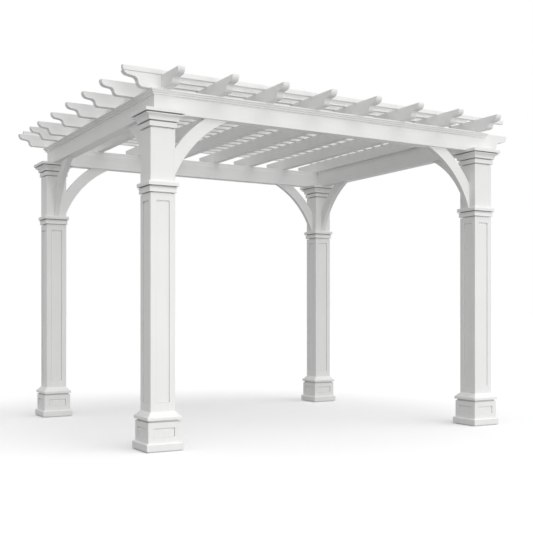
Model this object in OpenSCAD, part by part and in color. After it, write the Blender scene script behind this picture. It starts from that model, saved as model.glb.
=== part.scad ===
// Garden pergola: four panelled posts with moulded bases, collars and capitals carry a ring of
// beams. Curved knee braces stiffen the corners, a crown moulding trims the beams, and scroll-cut
// rafters, short scroll-cut tails and a row of slats lie on top. It is an open frame.
// Millimetres, +Z up. The origin is on the ground midway between the posts, and the front is -Y.

/* [Posts] */
// Distance between post centres from left to right
span_x = 3250; // [2900:10:3600]
// Distance between post centres from front to back
span_y = 2720; // [2400:10:3000]
// Width of the square shaft
shaft_w = 203; // [190:1:215]
// Depth of the recessed panels in the shaft faces
panel_depth = 9; // [4:1:15]
// Width of the stile beside each shaft panel
stile_w = 48; // [35:1:60]
// Height of the rail between the base and the shaft panels
panel_foot = 69; // [20:1:120]
// Height of the rail between the shaft panels and the collar
panel_head = 62; // [30:1:250]

/* [Bases] */
// Width of the plinth that stands on the ground
plinth_w = 300; // [290:1:330]
// Height of the plinth
plinth_h = 66; // [50:1:80]
// Width of the die above the plinth
die_w = 265; // [255:1:275]
// Top of the die above the ground
die_top = 223; // [210:1:240]
// Width of the stile beside each die panel
die_stile = 48; // [35:1:70]
// Height of the rail over and under each die panel
die_rail = 45; // [30:1:50]
// Depth of the recessed panels in the die faces
die_panel_depth = 6; // [3:1:10]
// Width of the ledge that caps the die
ledge_w = 281; // [278:1:288]
// Top of the ledge fascia above the ground
ledge_top = 258; // [245:1:275]
// Top of the sloped weathering above the ground
base_top = 299; // [285:1:320]

/* [Collars and capitals] */
// Distance from the capital's bottom down to the collar's bottom
collar_drop = 493; // [480:1:510]
// Height of the collar
collar_h = 80; // [65:1:90]
// Projection of the collar's upper fascia from the shaft
collar_out = 22; // [15:1:30]
// Bottom of the capital above the ground
capital_bottom = 2454; // [2400:1:2480]
// Height of the capital
capital_h = 130; // [110:1:150]
// Projection of the capital's top fascia from the shaft
capital_out = 60; // [45:1:70]

/* [Beams and crown] */
// Width of the beams
beam_w = 102; // [90:1:130]
// Height of the beams
beam_h = 177; // [160:1:200]
// Depth to which the beams are let into the capitals
beam_seat = 11; // [5:1:20]
// Height of the scroll end at the right of the front beam
beam_end_h = 138; // [120:1:155]
// Height of the rebate along the beams' inner top edges
rebate_h = 40; // [20:1:60]
// Depth of that rebate
rebate_d = 8; // [4:1:12]
// Height of the crown moulding
crown_h = 42; // [36:1:60]
// Projection of the crown moulding from the beams
crown_out = 34; // [25:1:40]

/* [Braces] */
// Thickness of the knee braces
brace_t = 50; // [40:1:80]
// Width of the curved brace board
brace_w = 104; // [90:1:130]
// Radius of the brace's lower edge
brace_r = 930; // [700:5:1300]
// Distance from the beam down to where the lower edge would meet the post, below the collar's top
brace_drop = 553; // [545:1:580]
// Distance from the post out to the lower edge's end on the beam
brace_run = 493; // [420:1:560]

/* [Rafters and tails] */
// Number of rafters
rafter_count = 8; // [8:1:8]
// Distance from the side beams' outer faces in to the outermost rafters' centres
rafter_inset = 92; // [60:1:140]
// Thickness of rafters and tails
rafter_t = 60; // [45:1:70]
// Height of rafters and tails
rafter_h = 112; // [100:1:130]
// Reach of rafters, tails and the front beam's scroll end past the beams
tail_reach = 299; // [260:1:350]
// Places of the tails from front to back, as shares of the way
tail_places = [0, 0.121, 0.279, 0.436, 0.594, 0.751, 0.85, 1];

/* [Scroll ends] */
// Radius of the round nose
nose_r = 44; // [38:1:50]
// Height of the flat tip above the nose
nose_drop = 8; // [4:1:14]
// Length of the step behind the nose
step_l = 28; // [22:1:36]
// Fall of that step
step_drop = 4; // [2:1:10]
// Length of the ogee from the step to the lower edge
ogee_l = 64; // [58:1:76]

/* [Slats] */
// Number of slats
slat_count = 19; // [15:1:23]
// Width and height of a slat
slat_w = 38; // [30:1:45]
// Distance from the front and back beams' outer faces in to the outermost slats' centres
slat_inset = 14; // [5:1:60]
// Reach of the first and last slat past the side beams
slat_reach = 253; // [150:1:280]

/* [Hidden] */
capital_top = capital_bottom + capital_h;
beam_bottom = capital_top - beam_seat;
beam_top = beam_bottom + beam_h;
rafter_top = beam_top + rafter_h;
collar_bottom = capital_bottom - collar_drop;
panel_bottom = base_top + panel_foot;
panel_top = collar_bottom - panel_head;
post_x = span_x / 2;
post_y = span_y / 2;
face_x = post_x + beam_w / 2;
face_y = post_y + beam_w / 2;
inner_x = face_x - beam_w;
inner_y = face_y - beam_w;
rafter_edge = face_x - rafter_inset;
rafter_gap = 2 * rafter_edge / (rafter_count - 1);
roof_x = rafter_edge + rafter_t / 2;
tail_edge = face_y - rafter_t / 2;
slat_edge = face_y - slat_inset;
slat_end = face_x + slat_reach;
slat_gap = 2 * slat_edge / (slat_count - 1);
arc_steps = 8;
cut = 1;
white = [0.93, 0.93, 0.92];

// Points along an arc about a centre, from one angle to another
function arc(centre, r, from, to) =
    [for (i = [0 : arc_steps]) let (a = from + (to - from) * i / arc_steps)
        centre + r * [cos(a), sin(a)]];

// S-curve of two equal arcs between two points, leaving and arriving along the first axis
function ogee(p, q) =
    let (run = q[0] - p[0], drop = q[1] - p[1])
    let (r = (run * run + drop * drop) / (4 * drop), swing = 2 * atan(drop / run))
    concat(arc(p + [0, r], r, -90, -90 + swing), arc(q - [0, r], r, 90 + swing, 90));

// S-curve between two points, leaving and arriving along the second axis
function upright_ogee(p, q) =
    [for (s = ogee([p[1], p[0]], [q[1], q[0]])) [s[1], s[0]]];

function reversed(list) = [for (i = [len(list) - 1 : -1 : 0]) list[i]];
function mirrored(list) = [for (p = reversed(list)) [-p[0], p[1]]];

// Scroll-cut end as [distance in from the tip, distance below the top edge]
function scroll_end() =
    let (nose = [nose_r, nose_drop], heel = [nose_r + step_l, nose_drop + nose_r + step_drop])
    concat([[0, 0]], arc(nose, nose_r, 180, 90), ogee(heel, [heel[0] + ogee_l, rafter_h]));

// Scroll end of the front beam, a larger copy that stops at the side beam's outer face
function beam_end() =
    concat([for (p = scroll_end()) p * beam_end_h / rafter_h],
        [[tail_reach, beam_end_h], [tail_reach, beam_h]]);

// Scroll end of a corner, where the nose belongs to the slat and the rest to the tail below it
function corner_end() =
    [for (p = scroll_end()) [p[0] * 1.2, p[1] * (rafter_h + slat_w) / rafter_h]];

// Puts an end outline at a tip and a top height
function placed(outline, tip, top) = [for (p = outline) [tip - p[0], top - p[1]]];

// Outline of a member with the same end on both sides
function two_ended(outline, tip, top) =
    let (end = placed(outline, tip, top))
    concat(end, mirrored(end));

// Square moulding about the Z axis from half of its section, listed upwards
module square_moulding(half) {
    section = concat(half, mirrored(half));
    reach = 2 * max([for (p = half) p[0]]) + cut;
    intersection() {
        rotate([90, 0, 0]) linear_extrude(reach, center = true) polygon(section);
        rotate([90, 0, 90]) linear_extrude(reach, center = true) polygon(section);
    }
}

// Recess in each of the four faces of a square body
module face_panels(body_w, panel_w, bottom, top, depth) {
    for (turn = [0 : 90 : 270])
        rotate(turn)
            translate([body_w / 2 - depth, -panel_w / 2, bottom])
                cube([depth + cut, panel_w, top - bottom]);
}

// Hole through which a shaft passes
module shaft_hole() {
    translate([-shaft_w / 2, -shaft_w / 2, 0]) cube([shaft_w, shaft_w, rafter_top]);
}

// Places a piece at one of the posts
module at_post(side, end) {
    translate([side * post_x, end * post_y, 0]) children();
}

module post_base() {
    bevel = 8;
    step = 12;
    color(white) difference() {
        square_moulding([
            [plinth_w / 2, 0],
            [plinth_w / 2, plinth_h - bevel],
            [plinth_w / 2 - bevel, plinth_h],
            [die_w / 2, plinth_h],
            [die_w / 2, die_top],
            [ledge_w / 2, die_top + bevel],
            [ledge_w / 2, ledge_top],
            [ledge_w / 2 - step, ledge_top],
            [ledge_w / 2 - 1.5 * step, ledge_top + step],
            [shaft_w / 2, base_top]
        ]);
        face_panels(die_w, die_w - 2 * die_stile, plinth_h + die_rail, die_top - die_rail, die_panel_depth);
    }
}

module post_shaft() {
    color(white) difference() {
        translate([-shaft_w / 2, -shaft_w / 2, base_top])
            cube([shaft_w, shaft_w, beam_bottom - base_top]);
        face_panels(shaft_w, shaft_w - 2 * stile_w, panel_bottom, panel_top, panel_depth);
    }
}

module post_collar() {
    foot = shaft_w / 2 + 4;
    fascia = shaft_w / 2 + collar_out;
    color(white) difference() {
        square_moulding(concat(
            [[foot, collar_bottom]],
            arc([foot, collar_bottom + collar_h * 0.28], collar_h * 0.18, -90, 90),
            [[foot, collar_bottom + collar_h * 0.56], [fascia, collar_bottom + collar_h * 0.6]],
            [[fascia, collar_bottom + collar_h - 4], [fascia - 4, collar_bottom + collar_h]]
        ));
        shaft_hole();
    }
}

// Hollow quarter curve that leaves upright at one point and arrives level at another
function cove(p, q) =
    [for (i = [0 : arc_steps]) let (a = 90 * i / arc_steps)
        [q[0] - (q[0] - p[0]) * cos(a), p[1] + (q[1] - p[1]) * sin(a)]];

module post_capital() {
    neck = shaft_w / 2 + 12;
    bed = shaft_w / 2 + capital_out * 0.37;
    fillet = shaft_w / 2 + capital_out * 0.83;
    fascia = shaft_w / 2 + capital_out;
    color(white) difference() {
        square_moulding(concat(
            [[neck, capital_bottom], [neck, capital_bottom + capital_h * 0.3]],
            [[bed, capital_bottom + capital_h * 0.33]],
            cove([bed, capital_bottom + capital_h * 0.5], [fillet, capital_bottom + capital_h * 0.68]),
            [[fillet, capital_bottom + capital_h * 0.76]],
            [[fascia, capital_bottom + capital_h * 0.8], [fascia, capital_top]]
        ));
        shaft_hole();
    }
}

// Room for the ring of beams, which is cut from the capitals
module beam_room() {
    translate([-face_x, -face_y, beam_bottom]) cube([2 * face_x + tail_reach, beam_w, beam_h]);
    translate([-face_x, inner_y, beam_bottom]) cube([2 * face_x, beam_w, beam_h]);
    for (x = [-face_x, inner_x])
        translate([x, -face_y, beam_bottom]) cube([beam_w, 2 * face_y, beam_h]);
}

// Curved board in the corner between a post face and the beam's underside, reaching along +X. Its
// foot stands on the collar.
module brace_board() {
    chord = norm([brace_run, brace_drop]);
    rise = sqrt(brace_r * brace_r - chord * chord / 4);
    centre = [brace_run, -brace_drop] / 2 + rise / chord * [brace_drop, -brace_run];
    reach = max(brace_drop, brace_run);
    height = beam_bottom - collar_bottom - collar_h;
    color(white)
        translate([shaft_w / 2, 0, beam_bottom])
            intersection() {
                translate([centre[0], 0, centre[1]]) rotate([90, 0, 0]) difference() {
                    cylinder(r = brace_r + brace_w, h = brace_t, center = true, $fn = 240);
                    cylinder(r = brace_r, h = brace_t + cut, center = true, $fn = 240);
                }
                translate([0, -brace_t, -height]) cube([reach, 2 * brace_t, height]);
            }
}

// Crown moulding section as [projection from the beam, height], listed upwards
function crown_section() =
    let (band = crown_h / 3, r = crown_out * 0.22)
    concat(
        [[0, 0]],
        [for (i = [0 : 2]) let (out = crown_out * [0.4, 0.7, 1][i])
            each concat(arc([out - r, band * i + r], r, -90, 0), [[out, band * (i + 1)]])],
        [[0, crown_h]]
    );

// Crown along +X on the plane y = 0, projecting towards -Y, with mitred or square ends
module crown_run(from, to, mitre_from, mitre_to) {
    spare = 2 * crown_out;
    difference() {
        translate([from - spare, 0, beam_top - crown_h])
            rotate([90, 0, 90])
                linear_extrude(to - from + 2 * spare)
                    polygon([for (p = crown_section()) [-p[0], p[1]]]);
        translate([from, 0, beam_top]) rotate(mitre_from ? -45 : 0) translate([-4 * spare, 0, 0])
            cube([8 * spare, 8 * spare, 4 * crown_h], center = true);
        translate([to, 0, beam_top]) rotate(mitre_to ? 45 : 0) translate([4 * spare, 0, 0])
            cube([8 * spare, 8 * spare, 4 * crown_h], center = true);
    }
}

// Rebate along the inner top edge of a beam that lies along X with its inner face at y = 0
module inner_rebate(length) {
    translate([-length / 2, -rebate_d, beam_top - rebate_h]) cube([length, rebate_d + cut, rebate_h + cut]);
}

module side_beam() {
    difference() {
        translate([inner_x, -inner_y, beam_bottom]) cube([beam_w, 2 * inner_y, beam_h]);
        translate([inner_x, 0, 0]) rotate(90) inner_rebate(2 * inner_y + 2 * cut);
    }
}

// Upright board along X with the given outline in X and Z
module board(outline, y, thickness) {
    translate([0, y + thickness / 2, 0]) rotate([90, 0, 0]) linear_extrude(thickness) polygon(outline);
}

module rafter(number) {
    x = -rafter_edge + (number - 1) * rafter_gap;
    color(white)
        rotate(90)
            board(two_ended(scroll_end(), face_y + tail_reach, rafter_top), -x, rafter_t);
}

// Short scroll-cut boards that reach out along +X from the outermost rafter
module tails(first) {
    color(white)
        for (i = [first : len(tail_places) - 1]) {
            y = tail_edge * (2 * tail_places[i] - 1);
            if (i == 0)
                corner_tail(y);
            else
                board(concat(placed(scroll_end(), face_x + tail_reach, rafter_top), tail_heel()),
                    y, rafter_t);
        }
}

// Inner end of a tail, square against the outermost rafter
function tail_heel() = [[roof_x, beam_top], [roof_x, rafter_top]];

// Tail over the front beam, cut off level under the slat that carries its nose
module corner_tail(y) {
    outline = concat(placed(corner_end(), slat_end, rafter_top + slat_w), [[roof_x, beam_top]],
        [[roof_x, rafter_top + slat_w]]);
    intersection() {
        board(outline, y, rafter_t);
        translate([0, y - rafter_t, beam_top]) cube([slat_end, 2 * rafter_t, rafter_h]);
    }
}

module front_left_base() { at_post(-1, -1) post_base(); }
module front_right_base() { at_post(1, -1) post_base(); }
module back_left_base() { at_post(-1, 1) post_base(); }
module back_right_base() { at_post(1, 1) post_base(); }

module front_left_shaft() { at_post(-1, -1) post_shaft(); }
module front_right_shaft() { at_post(1, -1) post_shaft(); }
module back_left_shaft() { at_post(-1, 1) post_shaft(); }
module back_right_shaft() { at_post(1, 1) post_shaft(); }

module front_left_collar() { at_post(-1, -1) post_collar(); }
module front_right_collar() { at_post(1, -1) post_collar(); }
module back_left_collar() { at_post(-1, 1) post_collar(); }
module back_right_collar() { at_post(1, 1) post_collar(); }

// Capital of one post with the beams' room cut from its top
module seated(side, end) {
    color(white) difference() {
        at_post(side, end) post_capital();
        beam_room();
    }
}

module front_left_capital() { seated(-1, -1); }
module front_right_capital() { seated(1, -1); }
module back_left_capital() { seated(-1, 1); }
module back_right_capital() { seated(1, 1); }

module front_left_front_brace() { at_post(-1, -1) brace_board(); }
module front_right_front_brace() { at_post(1, -1) rotate(180) brace_board(); }
module back_left_back_brace() { at_post(-1, 1) brace_board(); }
module back_right_back_brace() { at_post(1, 1) rotate(180) brace_board(); }
module front_left_side_brace() { at_post(-1, -1) rotate(90) brace_board(); }
module front_right_side_brace() { at_post(1, -1) rotate(90) brace_board(); }
module back_left_side_brace() { at_post(-1, 1) rotate(-90) brace_board(); }
module back_right_side_brace() { at_post(1, 1) rotate(-90) brace_board(); }

module front_beam() {
    color(white) difference() {
        board(concat(placed(beam_end(), face_x + tail_reach, beam_top),
            [[-face_x, beam_bottom], [-face_x, beam_top]]), -post_y, beam_w);
        translate([0, -inner_y, 0]) inner_rebate(2 * inner_x);
    }
}

module back_beam() {
    color(white) difference() {
        translate([-face_x, inner_y, beam_bottom]) cube([2 * face_x, beam_w, beam_h]);
        translate([0, inner_y, 0]) rotate(180) inner_rebate(2 * inner_x);
    }
}

module left_beam() { color(white) mirror([1, 0, 0]) side_beam(); }
module right_beam() { color(white) side_beam(); }

module front_crown() { color(white) translate([0, -face_y, 0]) crown_run(-face_x, face_x, true, true); }
module back_crown() {
    color(white) rotate(180) translate([0, -face_y, 0]) crown_run(-face_x, face_x, true, true);
}
module right_crown() {
    color(white) rotate(90) translate([0, -face_x, 0]) crown_run(-inner_y, face_y, false, true);
}
module left_crown() {
    color(white) mirror([1, 0, 0]) rotate(90) translate([0, -face_x, 0])
        crown_run(-face_y, face_y, true, true);
}

module rafter_1() { rafter(1); }
module rafter_2() { rafter(2); }
module rafter_3() { rafter(3); }
module rafter_4() { rafter(4); }
module rafter_5() { rafter(5); }
module rafter_6() { rafter(6); }
module rafter_7() { rafter(7); }
module rafter_8() { rafter(8); }

// The tails at the left include one over the front beam, where the right side has none
module left_tails() { mirror([1, 0, 0]) tails(0); }
module right_tails() { tails(1); }

// Slat over the front or back beam, with the nose of the corner scroll at both ends
module long_slat(y) {
    intersection() {
        board(two_ended(corner_end(), slat_end, rafter_top + slat_w), y, slat_w);
        translate([-slat_end, y - slat_w, rafter_top]) cube([2 * slat_end, 2 * slat_w, slat_w]);
    }
}

module slats() {
    color(white)
        for (i = [0 : slat_count - 1]) {
            y = -slat_edge + i * slat_gap;
            if (i == 0 || i == slat_count - 1)
                long_slat(y);
            else
                translate([-roof_x, y - slat_w / 2, rafter_top]) cube([2 * roof_x, slat_w, slat_w]);
        }
}

front_left_base();
front_right_base();
back_left_base();
back_right_base();
front_left_shaft();
front_right_shaft();
back_left_shaft();
back_right_shaft();
front_left_collar();
front_right_collar();
back_left_collar();
back_right_collar();
front_left_capital();
front_right_capital();
back_left_capital();
back_right_capital();
front_left_front_brace();
front_right_front_brace();
back_left_back_brace();
back_right_back_brace();
front_left_side_brace();
front_right_side_brace();
back_left_side_brace();
back_right_side_brace();
front_beam();
back_beam();
left_beam();
right_beam();
front_crown();
back_crown();
left_crown();
right_crown();
rafter_1();
rafter_2();
rafter_3();
rafter_4();
rafter_5();
rafter_6();
rafter_7();
rafter_8();
left_tails();
right_tails();
slats();
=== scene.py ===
import logging
import math
from dataclasses import dataclass, field
from enum import Enum

import bmesh
import bpy
import numpy as np
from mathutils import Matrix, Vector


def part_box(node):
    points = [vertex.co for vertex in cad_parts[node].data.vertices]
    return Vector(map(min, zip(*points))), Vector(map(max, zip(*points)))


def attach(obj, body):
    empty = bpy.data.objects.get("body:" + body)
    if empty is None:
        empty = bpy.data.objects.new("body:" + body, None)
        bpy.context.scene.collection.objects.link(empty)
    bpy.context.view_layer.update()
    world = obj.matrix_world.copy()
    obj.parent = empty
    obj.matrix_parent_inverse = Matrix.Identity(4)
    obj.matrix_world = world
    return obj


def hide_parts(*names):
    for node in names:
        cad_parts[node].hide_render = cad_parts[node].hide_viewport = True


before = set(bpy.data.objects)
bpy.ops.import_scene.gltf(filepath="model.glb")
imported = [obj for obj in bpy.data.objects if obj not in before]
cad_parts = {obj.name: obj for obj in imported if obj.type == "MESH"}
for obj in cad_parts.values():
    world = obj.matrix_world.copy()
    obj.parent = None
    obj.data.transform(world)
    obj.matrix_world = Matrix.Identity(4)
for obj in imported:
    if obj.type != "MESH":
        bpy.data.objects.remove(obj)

logging.basicConfig(level=logging.INFO, format="%(name)s: %(message)s")
LOG = logging.getLogger("pergola")

Array = np.ndarray

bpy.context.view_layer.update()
BODY = "root"
WELD_DISTANCE = 1e-6
SAME_POINT = 1e-9
NO_LENGTH = 1e-12
SMOOTH_ANGLE = math.radians(32.0)
CURVE_STEPS = 14
EASE_STEPS = 4
LARGEST_EASE = 0.48  # share of a side that a rounded corner may take up
WHITE = (1.0, 1.0, 1.0, 1.0)


def arc(centre: tuple[float, float], radius: float, start: float, stop: float) -> Array:
    """Points on a circle: centre plus radius times (cos t, sin t).

    Args:
        centre: Middle of the circle.
        radius: Radius in metres.
        start: First angle in degrees.
        stop: Last angle in degrees.

    Returns:
        Points as an (n, 2) array.
    """
    t = np.radians(np.linspace(start, stop, CURVE_STEPS + 1))
    return np.asarray(centre, float) + radius * np.column_stack((np.cos(t), np.sin(t)))


def ogee(first: tuple[float, float], last: tuple[float, float]) -> Array:
    """S-curve of two equal arcs that leaves and arrives along the first axis.

    Args:
        first: Point where the curve starts.
        last: Point where it ends, further along both axes.

    Returns:
        Points as an (n, 2) array.
    """
    run, drop = last[0] - first[0], last[1] - first[1]
    radius = (run * run + drop * drop) / (4.0 * drop)
    swing = math.degrees(2.0 * math.atan2(drop, run))
    lower = arc((first[0], first[1] + radius), radius, -90.0, -90.0 + swing)
    upper = arc((last[0], last[1] - radius), radius, 90.0 + swing, 90.0)
    return np.vstack((lower, upper[1:]))


def quarter_curve(first: tuple[float, float], last: tuple[float, float]) -> Array:
    """Quarter curve that leaves upright and arrives level, hollow where it widens upwards.

    At angle t the point is first + (last - first) times (1 - cos t, sin t).

    Args:
        first: Lower end as (half width, height).
        last: Upper end as (half width, height).

    Returns:
        Points as an (n, 2) array.
    """
    t = np.radians(np.linspace(0.0, 90.0, CURVE_STEPS + 1))
    share = np.column_stack((1.0 - np.cos(t), np.sin(t)))
    return np.array(first) + (np.array(last) - np.array(first)) * share


def eased(outline: Array, radius: float, closed: bool = True, sharp: float = 25.0) -> Array:
    """Outline with its sharp corners rounded.

    A corner P becomes the curve (1 - t)^2 A + 2 t (1 - t) P + t^2 B, where A and B lie on the two
    sides at the given distance from P.

    Args:
        outline: Corners as an (n, 2) array.
        radius: Distance from a corner to where its curve starts.
        closed: Whether the last corner joins the first.
        sharp: Turn in degrees from which a corner is rounded.

    Returns:
        Points as an (m, 2) array.
    """
    back = np.roll(outline, 1, axis=0) - outline
    ahead = np.roll(outline, -1, axis=0) - outline
    back_length = np.linalg.norm(back, axis=1)
    ahead_length = np.linalg.norm(ahead, axis=1)
    straight = -(back * ahead).sum(axis=1) / np.maximum(back_length * ahead_length, NO_LENGTH)
    reach = np.minimum(radius, LARGEST_EASE * np.minimum(back_length, ahead_length))
    reach = np.where(straight < math.cos(math.radians(sharp)), reach, 0.0)
    if not closed:
        reach[[0, -1]] = 0.0
    start = outline + back / np.maximum(back_length, NO_LENGTH)[:, None] * reach[:, None]
    stop = outline + ahead / np.maximum(ahead_length, NO_LENGTH)[:, None] * reach[:, None]
    start, corner, stop = start[:, None], outline[:, None], stop[:, None]
    t = np.linspace(0.0, 1.0, EASE_STEPS + 1)[None, :, None]
    curve = (1 - t) ** 2 * start + 2 * t * (1 - t) * corner + t**2 * stop
    points = curve.reshape(-1, 2)
    moved = np.linalg.norm(points - np.roll(points, 1, axis=0), axis=1) > SAME_POINT
    return points[moved]


def inward(outline: Array) -> Array:
    """Mitred inward direction at each corner, so that outline + d * inward shrinks it by d.

    Args:
        outline: Corners of a closed outline as an (n, 2) array.

    Returns:
        Directions as an (n, 2) array.
    """
    following = np.roll(outline, -1, axis=0)
    ahead = following - outline
    ahead /= np.linalg.norm(ahead, axis=1)[:, None]
    area = (outline[:, 0] * following[:, 1] - following[:, 0] * outline[:, 1]).sum()
    normal = math.copysign(1.0, area) * np.column_stack((-ahead[:, 1], ahead[:, 0]))
    before = np.roll(normal, 1, axis=0)
    return (normal + before) / (1.0 + (normal * before).sum(axis=1))[:, None]


def square_rings(profile: Array, centre: Array, corner: float) -> Array:
    """Rounded squares carried up a profile.

    A profile point (half width w, height z) gives x = cx + sx (w - r) + r cos t and
    y = cy + sy (w - r) + r sin t at height z, where t runs through each quarter turn and sx, sy
    are that quarter's signs.

    Args:
        profile: Half widths and heights as an (n, 2) array.
        centre: Middle of the squares in plan.
        corner: Radius r of the corners.

    Returns:
        Points as an (n, m, 3) array.
    """
    quarter = np.linspace(0.0, 90.0, EASE_STEPS + 1)
    angle = np.radians((np.arange(4)[:, None] * 90.0 + quarter).ravel())
    signs = np.repeat([(1.0, 1.0), (-1.0, 1.0), (-1.0, -1.0), (1.0, -1.0)], EASE_STEPS + 1, axis=0)
    turn = np.column_stack((np.cos(angle), np.sin(angle)))
    plan = (profile[:, 0, None, None] - corner) * signs + corner * turn + centre
    height = np.broadcast_to(profile[:, 1, None, None], plan.shape[:2] + (1,))
    return np.concatenate((plan, height), axis=2)


def map_range(nodes: bpy.types.Nodes, source: tuple[float, float],
              target: tuple[float, float]) -> bpy.types.Node:
    """Adds a node that turns one range of values into another.

    Args:
        nodes: Nodes of the material.
        source: Lowest and highest value that come in.
        target: Values that they become.

    Returns:
        The new node.
    """
    node = nodes.new("ShaderNodeMapRange")
    names = ("From Min", "From Max", "To Min", "To Max")
    for name, value in zip(names, (*source, *target)):
        node.inputs[name].default_value = value
    return node


class Grain(Enum):
    """Direction in which extruded vinyl shows its fine streaks, as stretch per axis."""

    ALONG_X = (0.03, 1.0, 1.0)
    ALONG_Y = (1.0, 0.03, 1.0)
    ALONG_Z = (1.0, 1.0, 0.03)


class Run(Enum):
    """Axis a board lies along, as the order of (along, across, up) in x, y and z."""

    ALONG_X = (0, 1, 2)
    ALONG_Y = (1, 0, 2)


@dataclass(frozen=True)
class Vinyl:
    """Satin white vinyl with faint extrusion streaks, a fine skin and painted shade in grooves and
    inner corners.

    Attributes:
        slot: Slot name, which starts the material's name.
        grain: Direction of the streaks.
        light: Brightest tone of the vinyl.
        dark: Darkest tone of the vinyl.
        roughness: Lowest and highest roughness.
        ior: Index of refraction.
        shine: Level of the mirror-like part of the light.
        streaks: Scale of the streaks and their share in the tone.
        clouds: Scale of the soft clouds and their share in the tone.
        pores: Scale and detail of the fine skin.
        span: Pattern values that give the darkest and the brightest tone.
        streak_relief: Strength of the streaks' relief and its depth in metres.
        pore_relief: Strength of the skin's relief and its depth in metres.
        crease_shade_reach: Distance up to which grooves and inner corners get painted shade, in
            metres.
        crease_shade_tone: Tone of the painted shade deep in a groove, as a share of the vinyl's.
        crease_shade_span: Openness at which a crease has that painted shade in full and at which it
            has none of it.
        crease_shade_samples: Number of directions in which the openness is tested.
    """

    slot: str
    grain: Grain
    light: tuple[float, float, float] = (0.925, 0.925, 0.912)
    dark: tuple[float, float, float] = (0.875, 0.877, 0.865)
    roughness: tuple[float, float] = (0.40, 0.52)
    ior: float = 1.5
    shine: float = 0.4
    streaks: tuple[float, float] = (70.0, 0.45)
    clouds: tuple[float, float] = (2.6, 0.55)
    pores: tuple[float, float] = (650.0, 2.0)
    span: tuple[float, float] = (0.3, 0.7)
    streak_relief: tuple[float, float] = (0.12, 0.0004)
    pore_relief: tuple[float, float] = (0.06, 0.0002)
    crease_shade_reach: float = 0.03
    crease_shade_tone: float = 0.55
    crease_shade_span: tuple[float, float] = (0.1, 0.65)
    crease_shade_samples: int = 8

    def material(self) -> bpy.types.Material:
        """Makes the material, once for each slot and direction of the streaks.

        Returns:
            The material.
        """
        name = f"{self.slot}_{self.grain.name.lower()}"
        made = bpy.data.materials.get(name)
        if made is not None:
            return made
        material = bpy.data.materials.new(name)
        material.use_nodes = True
        nodes, links = material.node_tree.nodes, material.node_tree.links
        shader = nodes["Principled BSDF"]
        shader.inputs["IOR"].default_value = self.ior
        shader.inputs["Specular IOR Level"].default_value = self.shine

        place = nodes.new("ShaderNodeTexCoord")
        stretch = nodes.new("ShaderNodeMapping")
        stretch.inputs["Scale"].default_value = self.grain.value
        links.new(place.outputs["Object"], stretch.inputs["Vector"])
        streaks = self._noise(nodes, self.streaks[0])
        clouds = self._noise(nodes, self.clouds[0])
        pores = self._noise(nodes, *self.pores)
        links.new(stretch.outputs["Vector"], streaks.inputs["Vector"])
        links.new(place.outputs["Object"], clouds.inputs["Vector"])
        links.new(place.outputs["Object"], pores.inputs["Vector"])

        blend = nodes.new("ShaderNodeMath")
        blend.operation = "MULTIPLY_ADD"
        blend.inputs[1].default_value = self.streaks[1]
        links.new(streaks.outputs["Fac"], blend.inputs[0])
        share = nodes.new("ShaderNodeMath")
        share.operation = "MULTIPLY"
        share.inputs[1].default_value = self.clouds[1]
        links.new(clouds.outputs["Fac"], share.inputs[0])
        links.new(share.outputs["Value"], blend.inputs[2])

        tone = nodes.new("ShaderNodeValToRGB")
        ends = zip(tone.color_ramp.elements, self.span, (self.dark, self.light))
        for end, position, colour in ends:
            end.position = position
            end.color = (*colour, 1.0)
        links.new(blend.outputs["Value"], tone.inputs["Fac"])
        # Painted shade: the vinyl's tone is darkened in grooves and inner corners, by how closed in
        # the surface is.
        shaded_tone = nodes.new("ShaderNodeVectorMath")
        shaded_tone.operation = "MULTIPLY"
        links.new(tone.outputs["Color"], shaded_tone.inputs[0])
        links.new(self._painted_crease_shade(nodes, links), shaded_tone.inputs[1])
        links.new(shaded_tone.outputs["Vector"], shader.inputs["Base Color"])

        gloss = map_range(nodes, self.span, self.roughness)
        links.new(pores.outputs["Fac"], gloss.inputs["Value"])
        links.new(gloss.outputs["Result"], shader.inputs["Roughness"])

        coarse, fine = nodes.new("ShaderNodeBump"), nodes.new("ShaderNodeBump")
        for bump, (strength, depth) in ((coarse, self.streak_relief), (fine, self.pore_relief)):
            bump.inputs["Strength"].default_value = strength
            bump.inputs["Distance"].default_value = depth
        links.new(blend.outputs["Value"], coarse.inputs["Height"])
        links.new(pores.outputs["Fac"], fine.inputs["Height"])
        links.new(coarse.outputs["Normal"], fine.inputs["Normal"])
        links.new(fine.outputs["Normal"], shader.inputs["Normal"])
        return material

    def _painted_crease_shade(self, nodes: bpy.types.Nodes, links: bpy.types.NodeLinks) -> bpy.types.NodeSocket:
        """Adds painted shade: a tone that falls below 1 in grooves and inner corners, where the
        surface is closed in.

        Args:
            nodes: Nodes of the material.
            links: Links of the material.

        Returns:
            The socket that gives the tone.
        """
        openness = nodes.new("ShaderNodeAmbientOcclusion")
        openness.only_local = True
        openness.samples = self.crease_shade_samples
        openness.inputs["Distance"].default_value = self.crease_shade_reach
        painted_shade = map_range(nodes, self.crease_shade_span, (self.crease_shade_tone, 1.0))
        links.new(openness.outputs["AO"], painted_shade.inputs["Value"])
        return painted_shade.outputs["Result"]

    @staticmethod
    def _noise(nodes: bpy.types.Nodes, scale: float, detail: float = 3.0) -> bpy.types.Node:
        """Adds a noise texture.

        Args:
            nodes: Nodes of the material.
            scale: Scale of the noise.
            detail: Number of finer layers.

        Returns:
            The new node.
        """
        noise = nodes.new("ShaderNodeTexNoise")
        noise.inputs["Scale"].default_value = scale
        noise.inputs["Detail"].default_value = detail
        return noise


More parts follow.
